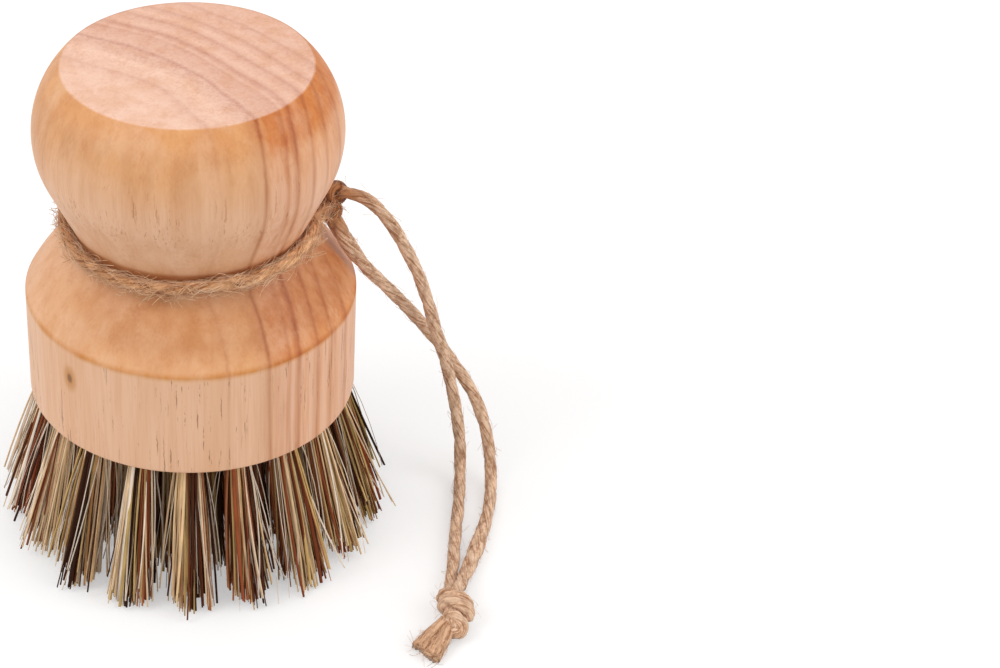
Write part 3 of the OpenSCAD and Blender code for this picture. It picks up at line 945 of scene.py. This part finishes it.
knot_spot = Vector((knot_reach * math.cos(knot_angle), knot_reach * math.sin(knot_angle), waist_z / mm))
turns = [knot_angle + lift_back + (2 * math.pi - lift_back - lift_front) * i / 40 for i in range(41)]
loop_route = [loop_point(a) for a in turns]
loop_route = [tuple(knot_spot.lerp(Vector(loop_route[0]), s)) for s in (0.12, 0.55)] + loop_route
loop_route += [tuple(knot_spot.lerp(Vector(loop_route[-1]), s)) for s in (0.55, 0.12)]
waist_loop = twine("cord_round_waist", smooth(loop_route), 1, width=0.9, crease=0.09)
dress(waist_loop, "cord_waist_loop", rubbed_paint)
fuzz_on(waist_loop, 1, 2300, 2.0, 6.0, 0.26)


# The knot at the waist: two tight turns of the cord where its legs leave, round a short filled middle.
# It is darker brown than the rest of the cord, and painted shade covers it and fills its creases.
def turn_path(centre, tilt, radius):
    """A turn of cord round an axis, tilted about X and then about Z by angles in degrees, in millimetres."""
    tilted = Matrix.Rotation(math.radians(tilt[1]), 3, "Z") @ Matrix.Rotation(math.radians(tilt[0]), 3, "X")
    turns, rise, steps = 1.2, 0.6, 22
    points = []
    for i in range(steps + 1):
        a = 2 * math.pi * turns * i / steps
        on = Vector((radius * math.cos(a), radius * math.sin(a), rise * (i / steps - 0.5)))
        points.append(tilted @ on + centre)
    return points


knot_turned = Matrix.Rotation(knot_angle, 3, "Z")
waist_turns = []
for offset, tilt, radius in (((1.2, 0.3, 2.4), (80, 20), 1.15), ((0.1, -0.2, -0.9), (65, -10), 1.1)):
    path = smooth(turn_path(knot_spot + knot_turned @ Vector(offset), tilt, radius))
    number = len(waist_turns)
    waist_turns.append(twine(f"waist_turn_{number}", path, 3 + number, width=0.96))
heart_path = smooth([knot_spot + Vector(p) for p in ((-1.6, -1.2, -1.0), (-0.2, 0, 0), (1.0, 0.8, 1.6))])
waist_turns.append(twine("waist_heart", heart_path, 6, width=1.25))
waist_knot = joined_pieces("waist_knot", waist_turns)
dress(waist_knot, "cord_waist_knot", brown_paint)
fuzz_on(waist_knot, 2, 70, 1.5, 4.0, 0.3)

# The two legs, along the routes that they take from the knot to the table.
upper_route = [
    (27, 4.6, 66.2), (31.8, 3.6, 64.9), (35.8, 3.1, 60.6), (38.9, 3, 54.9), (41.5, 3, 49),
    (43.4, 3.2, 43), (45, 3.6, 37), (46.7, 4.1, 31.2), (48.1, 4.7, 25.4), (49.3, 5.3, 19.6),
    (50.3, 5.8, 13.8), (51, 6, 8.6), (51.2, 5, 4), (51, 1.2, 1.5), (50.5, -4, 1.3),
    (49.8, -9.5, 1.3), (49.1, -15, 1.3), (48.5, -20.5, 1.3), (47.8, -25.8, 1.5), (47.2, -30.4, 2.0),
]
lower_route = [
    (25.4, 3.9, 61.4), (28.2, 1.8, 57.2), (31.6, 1.9, 51.8), (35.4, 3.4, 46.6), (39, 5.4, 41.2),
    (42.2, 7.4, 36), (45.4, 8.9, 30.8), (48.4, 9.5, 26), (51.2, 9.5, 21.4), (53.8, 9, 16.6),
    (55.6, 8, 11.6), (56.7, 6.6, 6.8), (57.1, 3.6, 2.6), (56.8, -1.2, 1.3), (55.9, -6.6, 1.3),
    (54.6, -12, 1.3), (53, -17.2, 1.3), (51.4, -22.2, 1.4), (50.0, -26.4, 2.0), (49.0, -30.2, 3.0),
]


def leg(name, route, cad_node, seed, loose=()):
    path = smooth(route)
    piece = twine(name, path, seed, width=0.96, loose=loose)
    dress(piece, cad_node)
    coat = fuzz_on(piece, seed, 170, 2.0, 4.0, 0.15)
    return piece, coat, path


upper_leg, upper_fuzz, upper_path = leg("cord_leg_upper", upper_route, "cord_upper_leg", 8)
lower_leg, lower_fuzz, lower_path = leg("cord_leg_lower", lower_route, "cord_lower_leg", 9, (0.03, 0.88))

# The end knot: the two legs run through it, with a double wrap that slants over them and a short
# bight of the same cord that sticks out below.
knot_middle = Vector((47.8, -35.3, 3.0))
wrap_turns = 1.75
wrap_steps = 45
wrap = []
for i in range(wrap_steps + 1):
    done = i / wrap_steps
    a = (2 * wrap_turns * done - 0.35) * math.pi
    on = Vector((-2.2 * math.cos(a), 1.7 - 3.4 * done + 0.75 * math.cos(a), 1.65 * math.sin(a)))
    wrap.append(knot_middle + on)
bight = [(46.4, -38.2, 3.2), (48.0, -39.0, 3.2), (48.8, -40.4, 2.6), (48.3, -41.6, 1.9), (46.8, -41.4, 1.8)]
parts = [twine("wrap_wide", smooth(wrap), 11, crease=0.1, pitch=9 * mm),
         twine("wrap_small", smooth(bight), 12, width=0.95, crease=0.1, pitch=9 * mm)]
for i, core in enumerate([((47.2, -30.0, 2.0), (47.2, -34, 2.6), (46.9, -37, 2.7), (46.0, -39.5, 2.2)),
                          ((48.8, -29.8, 2.9), (48.3, -33, 3.2), (47.8, -37.5, 2.6), (47.0, -41, 2.0))]):
    parts.append(twine(f"core_{i}", smooth(core), 13 + i, crease=0.1, pitch=12 * mm))
end_knot = joined_pieces("end_knot", parts)
dress(end_knot, "cord_end_knot")
end_fuzz = fuzz_on(end_knot, 15, 110, 1.5, 3.5, 0.2)

# The two cut ends of the legs, below the end knot. Their twist has opened, so that they lie flat and
# wide side by side, and their last fibres are uneven.
ends = []
for i, (start, stop) in enumerate([((46.0, -38.7, 2.3), (40.9, -44.9, 1.2)),
                                   ((47.0, -39.8, 2.1), (43.0, -47.1, 1.2))]):
    middle = (np.array(start) + np.array(stop)) / 2 + np.array((0.1, 0.1, 0.15))
    ends.append(twine(f"cut_end_{i}", smooth([start, middle, stop]), 17 + i, width=1.08, opens=0.3, flat=0.66,
                      crease=0.06, pitch=40 * mm, ragged=1.2 * mm, up=(0, 0, 1)))
cut_ends = joined_pieces("cut_ends", ends)
dress(cut_ends, "cord_cut_ends", cut_paint)
cut_fuzz = fuzz_on(cut_ends, 19, 110, 2.0, 4.0, 0.15)
